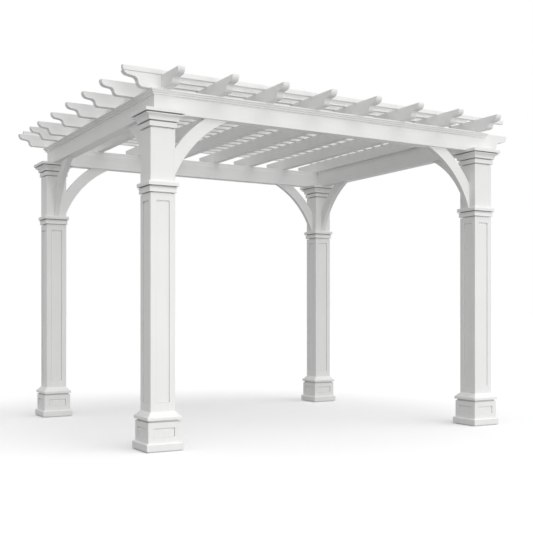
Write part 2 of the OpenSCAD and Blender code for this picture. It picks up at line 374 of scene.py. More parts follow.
@dataclass(frozen=True)
class Extent:
    """Space a CAD node takes up.

    Attributes:
        low: Lowest corner in metres.
        high: Highest corner in metres.
    """

    low: Array
    high: Array

    @classmethod
    def of(cls, node: str) -> "Extent":
        """Reads the extent of a CAD node."""
        low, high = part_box(node)
        return cls(np.array(low), np.array(high))

    @property
    def middle(self) -> Array:
        """Middle of the extent."""
        return (self.low + self.high) / 2.0

    @property
    def size(self) -> Array:
        """Length of the extent along each axis."""
        return self.high - self.low


@dataclass
class Skin:
    """Collects the surfaces of one piece and turns them into an object.

    Attributes:
        points: Blocks of points.
        faces: Corner numbers of each face.
        count: Number of points so far.
    """

    points: list[Array] = field(default_factory=list)
    faces: list[list[int]] = field(default_factory=list)
    count: int = 0

    def add(self, points: Array) -> Array:
        """Adds points.

        Args:
            points: Points in a layout of any shape.

        Returns:
            Their numbers in the same layout.
        """
        flat = points.reshape(-1, 3)
        numbers = self.count + np.arange(len(flat))
        self.points.append(flat)
        self.count += len(flat)
        return numbers.reshape(points.shape[:-1])

    def grid(self, points: Array, wrap_rows: bool = False, wrap_columns: bool = False) -> Array:
        """Adds a surface of four-sided faces over a grid of points.

        Args:
            points: Grid as a (rows, columns, 3) array.
            wrap_rows: Whether the last row joins the first.
            wrap_columns: Whether the last column joins the first.

        Returns:
            Point numbers as a (rows, columns) array.
        """
        numbers = self.add(points)
        net = np.vstack((numbers, numbers[:1])) if wrap_rows else numbers
        net = np.hstack((net, net[:, :1])) if wrap_columns else net
        quads = np.stack((net[:-1, :-1], net[:-1, 1:], net[1:, 1:], net[1:, :-1]), axis=-1)
        self.faces.extend(quads.reshape(-1, 4).tolist())
        return numbers

    def cap(self, loop: Array) -> None:
        """Closes a loop of point numbers with one flat face."""
        self.faces.append(loop.ravel().tolist())

    def moulding(self, profile: Array, centre: Array, corner: float, hollow: bool) -> None:
        """Adds a square moulding: rounded squares carried up a profile.

        Args:
            profile: Half widths and heights, listed upwards, or a closed section when hollow.
            centre: Middle of the moulding in plan.
            corner: Radius of the corners.
            hollow: Whether the profile is a closed section round a hole.
        """
        numbers = self.grid(square_rings(profile, centre, corner), hollow, True)
        if not hollow:
            self.cap(numbers[0])
            self.cap(numbers[-1])

    def board(self, outline: Array, near: float, far: float, ease: tuple[float, float],
              run: Run) -> None:
        """Adds an upright board: an outline carried through its thickness.

        Towards each face the outline shrinks by r (1 - sin t) while the depth closes by
        r (1 - cos t), with t from 0 to 90 degrees, which rounds the edges.

        Args:
            outline: Corners along the run and up, as an (n, 2) array.
            near: Depth of the first face.
            far: Depth of the second face.
            ease: Radius of the edges at the first and at the second face.
            run: Axis the board lies along.
        """
        t = np.radians(np.linspace(0.0, 90.0, EASE_STEPS + 1))
        inset, rise = 1 - np.sin(t), 1 - np.cos(t)
        shrink = np.concatenate((ease[0] * inset, ease[1] * inset[::-1]))
        depth = np.concatenate((near + ease[0] * rise, far - ease[1] * rise[::-1]))
        flat = outline + shrink[:, None, None] * inward(outline)
        across = np.broadcast_to(depth[:, None, None], flat.shape[:2] + (1,))
        rings = np.concatenate((flat[..., :1], across, flat[..., 1:]), axis=2)[..., run.value]
        numbers = self.grid(rings, False, True)
        self.cap(numbers[0])
        self.cap(numbers[-1])

    def piece(self, name: str, node: str, finish: Vinyl) -> bpy.types.Object:
        """Welds the surfaces and stands the piece in for its CAD node.

        Args:
            name: Name of the new piece.
            node: CAD node it replaces.
            finish: Finish of the piece.

        Returns:
            The new object.
        """
        mesh = bpy.data.meshes.new(name)
        mesh.from_pydata(np.concatenate(self.points).tolist(), [], self.faces)
        work = bmesh.new()
        work.from_mesh(mesh)
        bmesh.ops.remove_doubles(work, verts=work.verts, dist=WELD_DISTANCE)
        bmesh.ops.recalc_face_normals(work, faces=work.faces)
        work.to_mesh(mesh)
        work.free()
        mesh.shade_smooth()
        mesh.set_sharp_from_angle(angle=SMOOTH_ANGLE)
        mesh.materials.append(finish.material())
        obj = bpy.data.objects.new(name, mesh)
        bpy.context.scene.collection.objects.link(obj)
        even = obj.modifiers.new("even_normals", "WEIGHTED_NORMAL")
        even.keep_sharp = True
        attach(obj, BODY)
        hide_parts(node)
        LOG.info("%s: %d faces", name, len(mesh.polygons))
        return obj


@dataclass(frozen=True)
class Panel:
    """Recessed panel in each face of a square block.

    Attributes:
        stile: Width of the strip at each side of the panel.
        bottom: Height of the panel's lower edge.
        top: Height of the panel's upper edge.
        depth: Depth of the groove round the panel.
        lip: Radius of the recess's edges.
        groove: Width of the groove round the panel.
        field: Depth of the panel's field, as a share of the groove's depth.
        spread: Stretch of the edge's section at the sides, at the bottom and at the top.
    """

    stile: float
    bottom: float
    top: float
    depth: float
    lip: float
    groove: float = 0.005
    field: float = 0.5
    spread: tuple[float, float, float] = (0.2, 0.05, 1.7)

    def section(self) -> Array:
        """Section through the panel's edge.

        Returns:
            Points as (distance in from the opening, depth below the face).
        """
        margin = 2.0 * self.lip
        rise = self.groove + (1.0 - self.field) * self.depth
        corners = [
            (-margin, 0.0), (0.0, 0.0), (0.0, self.depth), (self.groove, self.depth),
            (rise, self.field * self.depth), (rise + self.groove, self.field * self.depth),
        ]
        return eased(np.array(corners), self.lip, closed=False)

    def block(self, skin: Skin, centre: Array, half: float, low: float, high: float,
              corner: float) -> None:
        """Adds a square block with this panel sunk into its four faces.

        Each face is a row of rectangles that shrink by the section's first value and sink by its
        second, closed by the panel's field.

        Args:
            skin: Surfaces of the piece.
            centre: Middle of the block in plan.
            half: Half the width of the block.
            low: Height of the block's foot.
            high: Height of the block's top.
            corner: Radius of the upright edges.
        """
        inset, depth = self.section().T
        side, bottom, top = self.spread
        width = np.concatenate(([half - corner], half - self.stile - side * inset))
        foot = np.concatenate(([low], self.bottom + bottom * inset))
        head = np.concatenate(([high], self.top - top * inset))
        out = half - np.concatenate(([0.0], depth))
        along = width[:, None] * np.array([-1.0, 1.0, 1.0, -1.0])
        height = np.stack((foot, foot, head, head), axis=1)
        out = np.broadcast_to(out[:, None], along.shape)
        for cos, sin in ((1, 0), (0, 1), (-1, 0), (0, -1)):
            x = centre[0] + cos * out - sin * along
            y = centre[1] + sin * out + cos * along
            numbers = skin.grid(np.stack((x, y, height), axis=-1), False, True)
            skin.cap(numbers[-1])
        rings = square_rings(np.array([(half, low), (half, high)]), centre, corner)
        for edge in np.split(rings, 4, axis=1):
            skin.grid(edge)
        skin.cap(skin.add(rings[0]))
        skin.cap(skin.add(rings[1]))


@dataclass(frozen=True)
class CollarTrim:
    """Moulding round the middle of a post: fillet, cove, shadow groove and fascia.

    Heights are shares of the collar's height, and the other sizes are in metres.

    Attributes:
        fillet: Projection of the fillet from the shaft.
        fillet_step: Set-back of the cove's foot from the fillet.
        cove_foot: Foot of the cove.
        cove_head: Head of the cove and foot of the groove.
        sink: Depth of the groove behind the shaft's face.
        fascia_foot: Foot of the fascia.
        bevel_foot: Foot of the fascia's bevel.
        bevel: Set-back of that bevel and of the cove's head.
        ease: Radius of the edges.
    """

    fillet: float = 0.011
    fillet_step: float = 0.003
    cove_foot: float = 0.28
    cove_head: float = 0.5
    sink: float = 0.004
    fascia_foot: float = 0.61
    bevel_foot: float = 0.95
    bevel: float = 0.004
    ease: float = 0.0012

    def section(self, inner: float, shaft: float, fascia: float) -> Array:
        """Closed section of the moulding.

        Args:
            inner: Half the width of the hole.
            shaft: Half the width of the shaft.
            fascia: Half the width of the fascia.

        Returns:
            Points as (half width in metres, share of the height).
        """
        fillet, sunk = shaft + self.fillet, shaft - self.sink
        cove_foot = (fillet - self.fillet_step, self.cove_foot)
        return np.vstack((
            [(inner, 0.0), (fillet, 0.0)],
            quarter_curve(cove_foot, (fascia - self.bevel, self.cove_head)),
            [(sunk, self.cove_head), (sunk, self.fascia_foot)],
            [(fascia, self.fascia_foot), (fascia, self.bevel_foot)],
            [(fascia - self.bevel, 1.0), (inner, 1.0)],
        ))


@dataclass(frozen=True)
class CapitalTrim:
    """Moulding at the head of a post: neck, bed, cove, fillet and fascia with shadow grooves.

    Heights are shares of the capital's height, the bed and the fillet are shares of its projection
    from the shaft, and the other sizes are in metres.

    Attributes:
        neck: Projection of the neck from the shaft.
        neck_top: Top of the neck and foot of the lower groove.
        sink: Depth of the lower groove behind the shaft's face.
        bed: Projection of the bed.
        bed_foot: Foot of the bed.
        cove_foot: Foot of the cove.
        cove_head: Head of the cove.
        fillet: Projection of the fillet.
        fillet_step: Set-back of the cove's head from the fillet.
        fillet_foot: Foot of the fillet.
        fillet_top: Top of the fillet and foot of the upper groove.
        quirk: Depth of the upper groove behind the fillet.
        fascia_foot: Foot of the fascia.
        ease: Radius of the edges.
    """

    neck: float = 0.012
    neck_top: float = 0.29
    sink: float = 0.006
    bed: float = 0.37
    bed_foot: float = 0.355
    cove_foot: float = 0.43
    cove_head: float = 0.66
    fillet: float = 0.83
    fillet_step: float = 0.004
    fillet_foot: float = 0.68
    fillet_top: float = 0.735
    quirk: float = 0.024
    fascia_foot: float = 0.80
    ease: float = 0.001

    def section(self, inner: float, shaft: float, fascia: float) -> Array:
        """Closed section of the moulding.

        Args:
            inner: Half the width of the hole.
            shaft: Half the width of the shaft.
            fascia: Half the width of the fascia.

        Returns:
            Points as (half width in metres, share of the height).
        """
        out = fascia - shaft
        neck, sunk = shaft + self.neck, shaft - self.sink
        bed, fillet = shaft + self.bed * out, shaft + self.fillet * out
        head, quirk = fillet - self.fillet_step, fillet - self.quirk
        return np.vstack((
            [(inner, 0.0), (neck, 0.0), (neck, self.neck_top)],
            [(sunk, self.neck_top), (sunk, self.bed_foot), (bed, self.bed_foot)],
            quarter_curve((bed, self.cove_foot), (head, self.cove_head)),
            [(head, self.fillet_foot), (fillet, self.fillet_foot), (fillet, self.fillet_top)],
            [(quirk, self.fillet_top), (quirk, self.fascia_foot)],
            [(fascia, self.fascia_foot), (fascia, 1.0), (inner, 1.0)],
        ))


@dataclass(frozen=True)
class Post:
    """One post: moulded base, panelled shaft, collar and capital.

    Heights and widths of the base and the panels are shares of the CAD node's height and width,
    and the other sizes are in metres.

    Attributes:
        corner: Name of the corner the post stands at.
        plinth_top: Top of the plinth.
        plinth_bevel: Height of the bevel on the plinth.
        die_width: Width of the die.
        die_top: Top of the die.
        ledge_width: Width of the ledge over the die.
        ledge_top: Top of the ledge.
        ledge_round: Set-back and rise of the ledge's rounded shoulder.
        ledge_tread: Set-back and rise of the small step behind that shoulder.
        toe: Depth and height of the shadow gap under the plinth.
        quirk: Depth and height of the shadow groove under the ledge.
        reveal: Depth and height of the shadow gap under the collar and the capital.
        tuck: How far the plinth's top runs in under the die.
        clearance: Gap between the base's top and the shaft.
        die_stile: Strip at each side of a die panel.
        die_rail: Strip over and under a die panel.
        die_depth: Depth of the groove round a die panel.
        shaft_stile: Strip at each side of a shaft panel.
        shaft_depth: Depth of the groove round a shaft panel.
        panel_foot: Lower edge of the shaft panels.
        panel_head: Upper edge of the shaft panels.
        edge: Radius of the upright edges.
        ease: Radius of the moulding edges.
        collar_trim: Section of the collar.
        capital_trim: Section of the capital.
        finish: Finish of the whole post.
    """

    corner: str
    plinth_top: float = 0.2207
    plinth_bevel: float = 0.027
    die_width: float = 0.883
    die_top: float = 0.7458
    ledge_width: float = 0.937
    ledge_top: float = 0.843
    ledge_round: tuple[float, float] = (0.0145, 0.018)
    ledge_tread: tuple[float, float] = (0.002, 0.005)
    toe: tuple[float, float] = (0.012, 0.008)
    quirk: tuple[float, float] = (0.012, 0.014)
    reveal: tuple[float, float] = (0.022, 0.008)
    tuck: float = 0.010
    clearance: float = 0.0005
    die_stile: float = 0.048
    die_rail: float = 0.045
    die_depth: float = 0.010
    shaft_stile: float = 0.048
    shaft_depth: float = 0.010
    panel_foot: float = 0.03034
    panel_head: float = 0.7036
    edge: float = 0.003
    ease: float = 0.0015
    collar_trim: CollarTrim = CollarTrim()
    capital_trim: CapitalTrim = CapitalTrim()
    finish: Vinyl = Vinyl("post_vinyl", Grain.ALONG_Z)

    def build(self) -> None:
        """Builds the four pieces of the post."""
        self.base()
        self.shaft()
        self.trim("collar", self.collar_trim)
        self.trim("capital", self.capital_trim)

    def base(self) -> None:
        """Plinth with a bevel, panelled die and a ledge that slopes up to the shaft."""
        box = Extent.of(f"{self.corner}_base")
        shaft = Extent.of(f"{self.corner}_shaft").size[0] / 2.0
        centre = box.middle[:2]
        wide, tall = box.size[0] / 2.0, box.size[2]
        low, bevel = box.low[2], self.plinth_bevel * tall
        plinth_top, die_top = low + self.plinth_top * tall, low + self.die_top * tall
        ledge_top = low + self.ledge_top * tall
        die, ledge = wide * self.die_width, wide * self.ledge_width
        skin = Skin()
        toe, gap = self.toe
        plinth = [
            (wide - toe, low), (wide - toe, low + gap), (wide, low + gap),
            (wide, plinth_top - bevel), (wide - bevel, plinth_top), (die - self.tuck, plinth_top),
        ]
        skin.moulding(eased(np.array(plinth), self.ease, closed=False), centre, self.edge, False)
        foot, head = plinth_top + self.die_rail, die_top - self.die_rail
        panel = Panel(self.die_stile, foot, head, self.die_depth, self.ease)
        panel.block(skin, centre, die, plinth_top - bevel, die_top, self.edge)
        sunk, ledge_foot = die - self.quirk[0], die_top + self.quirk[1]
        shoulder = ledge - self.ledge_round[0], ledge_top + self.ledge_round[1]
        step = shoulder[0] - self.ledge_tread[0]
        cap = np.vstack((
            [(sunk, die_top - bevel), (sunk, ledge_foot), (ledge, ledge_foot)],
            quarter_curve((ledge, ledge_top), shoulder),
            [(step, shoulder[1]), (step, shoulder[1] + self.ledge_tread[1])],
            [(shaft + self.clearance, box.high[2])],
        ))
        skin.moulding(eased(cap, self.ease, closed=False), centre, self.edge, False)
        skin.piece(f"{self.corner}_base_trim", f"{self.corner}_base", self.finish)

    def shaft(self) -> None:
        """Square sleeve with a recessed panel in each face and a shadow gap under each trim."""
        box = Extent.of(f"{self.corner}_shaft")
        collar, capital = Extent.of(f"{self.corner}_collar"), Extent.of(f"{self.corner}_capital")
        deep, gap = self.reveal
        half, centre = box.size[0] / 2.0, box.middle[:2]
        skin = Skin()
        foot = box.low[2] + self.panel_foot * box.size[2]
        head = box.low[2] + self.panel_head * box.size[2]
        panel = Panel(self.shaft_stile, foot, head, self.shaft_depth, self.ease)
        under_collar, under_capital = collar.low[2] - gap, capital.low[2] - gap
        in_collar, sunk = collar.high[2] - gap, half - deep
        panel.block(skin, centre, half, box.low[2], under_collar, self.edge)
        upper = [
            (sunk, under_collar), (sunk, in_collar), (half, in_collar),
            (half, under_capital), (sunk, under_capital), (sunk, box.high[2]),
        ]
        skin.moulding(np.array(upper), centre, self.edge, False)
        skin.piece(f"{self.corner}_sleeve", f"{self.corner}_shaft", self.finish)

    def trim(self, part: str, moulding: CollarTrim | CapitalTrim) -> None:
        """Moulding wrapped round the shaft: its section carried round a square.

        Args:
            part: Name of the part of the post.
            moulding: Moulding whose section is used.
        """
        node = f"{self.corner}_{part}"
        box = Extent.of(node)
        shaft = Extent.of(f"{self.corner}_shaft").size[0] / 2.0
        section = moulding.section(shaft - self.reveal[0], shaft, box.size[0] / 2.0)
        section = section * (1.0, box.size[2]) + (0.0, box.low[2])
        skin = Skin()
        skin.moulding(eased(section, moulding.ease), box.middle[:2], self.edge, True)
        skin.piece(f"{node}_trim", node, self.finish)


@dataclass(frozen=True)
class KneeBrace:
    """Curved board between a post and a beam.

    Attributes:
        node: CAD node of the brace.
        run: Axis the brace lies along.
        radius: Radius of the lower edge.
        width: Width of the curved board.
        cut: Distance from the foot on the collar down to where the lower edge would meet the post.
        ease: Radius of the long edges.
        bend_steps: Number of steps along the curve.
    """

    node: str
    run: Run
    radius: float = 0.930
    width: float = 0.104
    cut: float = 0.021
    ease: float = 0.004
    bend_steps: int = 40

    def build(self) -> None:
        """Carries a rounded section round the bend, cut off at the collar, the post and the beam.

        At radius p the board runs from the angle where it meets the post, cos t = -cx / p, or the
        collar at height -h, sin t = (cz - h) / p, to the angle where it meets the beam,
        sin t = cz / p, about a centre (cx, -cz) from the corner.
        """
        box = Extent.of(self.node)
        along = self.run.value[0]
        across = 1 - along
        towards = -math.copysign(1.0, box.middle[along])
        post = box.low[along] if towards > 0 else box.high[along]
        reach, height = box.size[along], box.size[2]
        centre_x, centre_z = self._centre(reach, height + self.cut)
        half = box.size[across] / 2.0
        heel = math.hypot(centre_x, centre_z - height) - self.radius
        corners = [
            (0.0, -half), (heel, -half), (self.width, -half),
            (self.width, half), (heel, half), (0.0, half),
        ]
        section = eased(np.array(corners), self.ease)
        distance = self.radius + section[:, :1]
        at_post = np.arccos(-centre_x / distance)
        at_collar = np.pi - np.arcsin((centre_z - height) / distance)
        start = np.minimum(at_post, at_collar)
        stop = np.pi - np.arcsin(centre_z / distance)
        angle = start + (stop - start) * np.linspace(0.0, 1.0, self.bend_steps + 1)
        out = post + towards * (centre_x + distance * np.cos(angle))
        up = box.high[2] - centre_z + distance * np.sin(angle)
        side = np.broadcast_to(box.middle[across] + section[:, 1:], out.shape)
        grid = np.stack((out, side, up), axis=-1)[..., self.run.value]
        skin = Skin()
        numbers = skin.grid(grid, True, False)
        skin.cap(numbers[:, 0])
        skin.cap(numbers[:, -1])
        finish = Vinyl("beam_vinyl", Grain[self.run.name])
        skin.piece(f"{self.node}_board", self.node, finish)

    def _centre(self, reach: float, drop: float) -> tuple[float, float]:
        """Centre of the bend, from the ends of the lower edge.

        Args:
            reach: Distance from the post out to the end on the beam.
            drop: Distance from the beam down to the end on the post.

        Returns:
            Distance of the centre out from the post and down from the beam.
        """
        chord = math.hypot(reach, drop)
        rise = math.sqrt(self.radius**2 - chord**2 / 4.0)
        return reach / 2.0 + rise * drop / chord, drop / 2.0 + rise * reach / chord


@dataclass(frozen=True)
class ScrollEnd:
    """Scroll-cut end of a board, as shares of the end's height.

    Attributes:
        height: Height of the end in metres.
        nose: Radius of the round nose.
        drop: Height of the flat tip above the nose.
        step: Length of the step behind the nose.
        fall: Fall of that step.
        sweep: Length of the S-curve from the step to the lower edge.
        corner_stretch: Length of a corner end, as a share of a plain end's length.
    """

    height: float
    nose: float = 0.3929
    drop: float = 0.0714
    step: float = 0.25
    fall: float = 0.0357
    sweep: float = 0.5714
    corner_stretch: float = 1.2

    def outline(self) -> Array:
        """Outline of a plain end.

        Returns:
            Points as (distance in from the tip, distance below the top edge).
        """
        front = arc((self.nose, self.drop), self.nose, 180.0, 90.0)
        heel = (self.nose + self.step, self.drop + self.nose + self.fall)
        back = ogee(heel, (heel[0] + self.sweep, 1.0))
        return self.height * np.vstack(([(0.0, 0.0)], front, back))

    def parted(self, nose_height: float) -> tuple[Array, Array]:
        """Outline of a taller corner end, parted level into the slat's nose and the tail below.

        Args:
            nose_height: Height of the slat that carries the nose.

        Returns:
            Outline of the nose and outline of the tail, both from the tip and top of the nose.
        """
        taller = (self.height + nose_height) / self.height
        whole = self.outline() * (self.corner_stretch, taller)
        parting = (np.interp(nose_height, whole[:, 1], whole[:, 0]), nose_height)
        above = whole[:, 1] < nose_height
        return np.vstack((whole[above], [parting])), np.vstack(([parting], whole[~above]))


def at_tip(outline: Array, tip: float, top: float) -> Array:
    """End outline placed at a tip and a top height."""
    return np.array([tip, top]) - outline


def both_ends(end: Array) -> Array:
    """Closed outline with an end at the right and its mirror image at the left."""
    return np.vstack((end, end[::-1] * (-1.0, 1.0)))


@dataclass(frozen=True)
class BeamRing:
    """Front, back and side beams with a crown moulding on their outer faces.

    Attributes:
        rebate_height: Height of the rebate along the inner top edges.
        rebate_depth: Depth of the rebate.
        end_share: Height of the front beam's scroll end, as a share of its height.
        ease: Radius of the beams' edges.
        crown_bands: Projection of the crown's bands, as shares of the whole.
        crown_bead: Radius of each band's lower edge, as a share of the whole projection.
        crown_ease: Radius of the crown's edges.
    """

    rebate_height: float = 0.040
    rebate_depth: float = 0.008
    end_share: float = 0.7797
    ease: float = 0.003
    crown_bands: tuple[float, float, float] = (0.4, 0.7, 1.0)
    crown_bead: float = 0.22
    crown_ease: float = 0.001

    def build(self) -> None:
        """Builds four beams and four crown runs."""
        self.front_beam()
        self.plain_beam("back_beam", Run.ALONG_X)
        self.plain_beam("left_beam", Run.ALONG_Y)
        self.plain_beam("right_beam", Run.ALONG_Y)
        side, back = Extent.of("right_beam"), Extent.of("back_beam")
        right, rear = side.high[0], back.high[1]
        across, both = (back.low[0], back.high[0]), (True, True)
        self.crown("front_crown", Run.ALONG_X, -rear, across, both)
        self.crown("back_crown", Run.ALONG_X, rear, across, both)
        self.crown("left_crown", Run.ALONG_Y, -right, (-rear, rear), both)
        self.crown("right_crown", Run.ALONG_Y, right, (side.low[1], rear), (False, True))

    def front_beam(self) -> None:
        """Beam with one scroll end: a front board and a thin inner board that leaves the rebate."""
        box, side = Extent.of("front_beam"), Extent.of("right_beam")
        tall, top = box.size[2], box.high[2]
        reach = box.high[0] - side.high[0]
        end_height = self.end_share * tall
        end = np.vstack((ScrollEnd(end_height).outline(), [(reach, end_height), (reach, tall)]))
        square = [(box.low[0], box.low[2]), (box.low[0], top)]
        outline = np.vstack((at_tip(end, box.high[0], top), square))
        split = box.high[1] - self.rebate_depth
        skin = Skin()
        skin.board(outline, box.low[1], split, (self.ease, 0.0), Run.ALONG_X)
        inner, low = side.low[0], top - self.rebate_height
        notch = [(-inner, top), (-inner, low), (inner, low), (inner, top)]
        skin.board(np.vstack((outline, notch)), split, box.high[1], (0.0, self.ease), Run.ALONG_X)
        skin.piece("front_beam_board", "front_beam", Vinyl("beam_vinyl", Grain.ALONG_X))

    def plain_beam(self, node: str, run: Run) -> None:
        """Straight beam: a section with a rebate at its inner top edge, carried along the run.

        Args:
            node: CAD node of the beam.
            run: Axis the beam lies along.
        """
        box = Extent.of(node)
        along = run.value[0]
        across = 1 - along
        out = math.copysign(1.0, box.middle[across])
        inner = box.low[across] if out > 0 else box.high[across]
        outer = box.high[across] if out > 0 else box.low[across]
        step, ledge = inner + out * self.rebate_depth, box.high[2] - self.rebate_height
        section = np.array([
            (inner, box.low[2]), (outer, box.low[2]), (outer, box.high[2]),
            (step, box.high[2]), (step, ledge), (inner, ledge),
        ])
        ends = (box.low[along], box.high[along])
        self._carry(eased(section, self.ease), ends, (0.0, 0.0), node, run)

    def crown(self, node: str, run: Run, face: float, ends: tuple[float, float],
              mitred: tuple[bool, bool]) -> None:
        """Crown moulding: a section on a beam's face, carried along it and mitred at the corners.

        Args:
            node: CAD node of the crown.
            run: Axis the crown lies along.
            face: Place of the beam's outer face.
            ends: Start and end of the run on the beam's face.
            mitred: Whether the start and the end are mitred outwards.
        """
        box = Extent.of(node)
        across = 1 - run.value[0]
        out = box.size[across]
        low, tall = box.low[2], box.size[2]
        bead, band = self.crown_bead * out, tall / len(self.crown_bands)
        bands = [
            np.vstack((arc((share * out - bead, number * band + bead), bead, -90.0, 0.0),
                       [(share * out, (number + 1) * band)]))
            for number, share in enumerate(self.crown_bands)
        ]
        profile = eased(np.vstack(([(0.0, 0.0)], *bands, [(0.0, tall)])), self.crown_ease)
        outer = face + math.copysign(1.0, face) * profile[:, 0]
        section = np.column_stack((outer, low + profile[:, 1]))
        stretch = (profile[:, 0] * -float(mitred[0]), profile[:, 0] * float(mitred[1]))
        self._carry(section, ends, stretch, node, run)

    @staticmethod
    def _carry(section: Array, ends: tuple[float, float],
               stretch: tuple[Array | float, Array | float], node: str, run: Run) -> None:
        """Carries a closed section along a run and caps its ends.

        Args:
            section: Section as (across, up) in an (n, 2) array.
            ends: Start and end of the run.
            stretch: Offset of each section point from the start and from the end.
            node: CAD node the piece replaces.
            run: Axis of the run.
        """
        start = np.broadcast_to(ends[0] + stretch[0], len(section))
        stop = np.broadcast_to(ends[1] + stretch[1], len(section))
        along = np.stack((start, stop), axis=1)
        across = np.broadcast_to(section[:, :1], along.shape)
        up = np.broadcast_to(section[:, 1:], along.shape)
        skin = Skin()
        numbers = skin.grid(np.stack((along, across, up), axis=-1)[..., run.value], True, False)
        skin.cap(numbers[:, 0])
        skin.cap(numbers[:, -1])
        skin.piece(f"{node}_length", node, Vinyl("beam_vinyl", Grain[run.name]))


@dataclass(frozen=True)
class Roof:
    """Rafters, tails and slats.

    Attributes:
        rafter_count: Number of rafters.
        tail_places: Places of the tails from front to back, as shares of the way.
        slat_count: Number of slats.
        ease: Radius of the boards' edges.
    """

    rafter_count: int = 8
    tail_places: tuple[float, ...] = (0.0, 0.121, 0.279, 0.436, 0.594, 0.751, 0.85, 1.0)
    slat_count: int = 19
    ease: float = 0.003

    def build(self) -> None:
        """Builds all pieces of the roof."""
        for number in range(1, self.rafter_count + 1):
            self.rafter(f"rafter_{number}")
        self.tails("left_tails", True)
        self.tails("right_tails", False)
        self.slats()

    def rafter(self, node: str) -> None:
        """Board from front to back with a scroll at both ends.

        Args:
            node: CAD node of the rafter.
        """
        box = Extent.of(node)
        outline = both_ends(at_tip(ScrollEnd(box.size[2]).outline(), box.high[1], box.high[2]))
        skin = Skin()
        skin.board(outline, box.low[0], box.high[0], (self.ease, self.ease), Run.ALONG_Y)
        skin.piece(f"{node}_board", node, Vinyl("roof_vinyl", Grain.ALONG_Y))

    def tails(self, node: str, corner: bool) -> None:
        """Row of short boards that reach out past a side beam.

        Args:
            node: CAD node of the row.
            corner: Whether the row starts with the tail over the front beam.
        """
        box, row, slats = Extent.of(node), Extent.of("left_tails"), Extent.of("slats")
        thick = Extent.of("rafter_1").size[0]
        out = math.copysign(1.0, box.middle[0])
        tip, root = max(abs(box.low[0]), abs(box.high[0])), min(abs(box.low[0]), abs(box.high[0]))
        scroll = ScrollEnd(box.size[2])
        heel = [(root, box.low[2]), (root, box.high[2])]
        plain = np.vstack((at_tip(scroll.outline(), tip, box.high[2]), heel))
        below = scroll.parted(slats.size[2])[1]
        first = np.vstack((at_tip(below, slats.high[0], slats.high[2]), heel))
        lows = row.low[1] + np.array(self.tail_places) * (row.size[1] - thick)
        skin = Skin()
        for number, low in enumerate(lows):
            if number == 0 and not corner:
                continue
            outline = (first if number == 0 else plain) * (out, 1.0)
            skin.board(outline, low, low + thick, (self.ease, self.ease), Run.ALONG_X)
        skin.piece(f"{node}_boards", node, Vinyl("roof_vinyl", Grain.ALONG_X))

    def slats(self) -> None:
        """Square bars across the rafters. The first and the last end in a corner scroll's nose."""
        box, rafter = Extent.of("slats"), Extent.of(f"rafter_{self.rafter_count}")
        wide = box.size[2]
        half = rafter.high[0]
        bar = [(-half, box.low[2]), (half, box.low[2]), (half, box.high[2]), (-half, box.high[2])]
        plain = eased(np.array(bar), self.ease)
        nose = ScrollEnd(rafter.size[2]).parted(wide)[0]
        nosed = both_ends(at_tip(nose, box.high[0], box.high[2]))
        skin = Skin()
        for number, low in enumerate(np.linspace(box.low[1], box.high[1] - wide, self.slat_count)):
            outline = nosed if number in (0, self.slat_count - 1) else plain
            skin.board(outline, low, low + wide, (self.ease, self.ease), Run.ALONG_X)
        skin.piece("slat_bars", "slats", Vinyl("roof_vinyl", Grain.ALONG_X))


@dataclass(frozen=True)
class PhotoCamera:
    """Camera placed where the photo was taken from.

    Attributes:
        location: Place of the camera in metres.
        turn: Turn of the view from +Y towards +X in degrees.
        lens: Focal length in millimetres.
        sensor: Width of the sensor in millimetres.
        sight: Distance up to which the camera sees, in metres.
        shift: Shift of the view to the right and up, as shares of the image width.
    """

    location: tuple[float, float, float] = (-4.3295, -7.7350, 1.0217)
    turn: float = 30.13
    lens: float = 60.53
    sensor: float = 36.0
    sight: float = 500.0
    shift: tuple[float, float] = (-0.0066, 0.0932)

    def build(self) -> None:
        """Adds the camera and makes it the scene's camera."""
        data = bpy.data.cameras.new("photo_camera")
        data.sensor_width = self.sensor
        data.lens = self.lens
        data.shift_x, data.shift_y = self.shift
        data.clip_end = self.sight
        camera = bpy.data.objects.new("photo_camera", data)
        camera.location = self.location
        camera.rotation_euler = (math.radians(90.0), 0.0, math.radians(-self.turn))
        bpy.context.scene.collection.objects.link(camera)
        bpy.context.scene.camera = camera


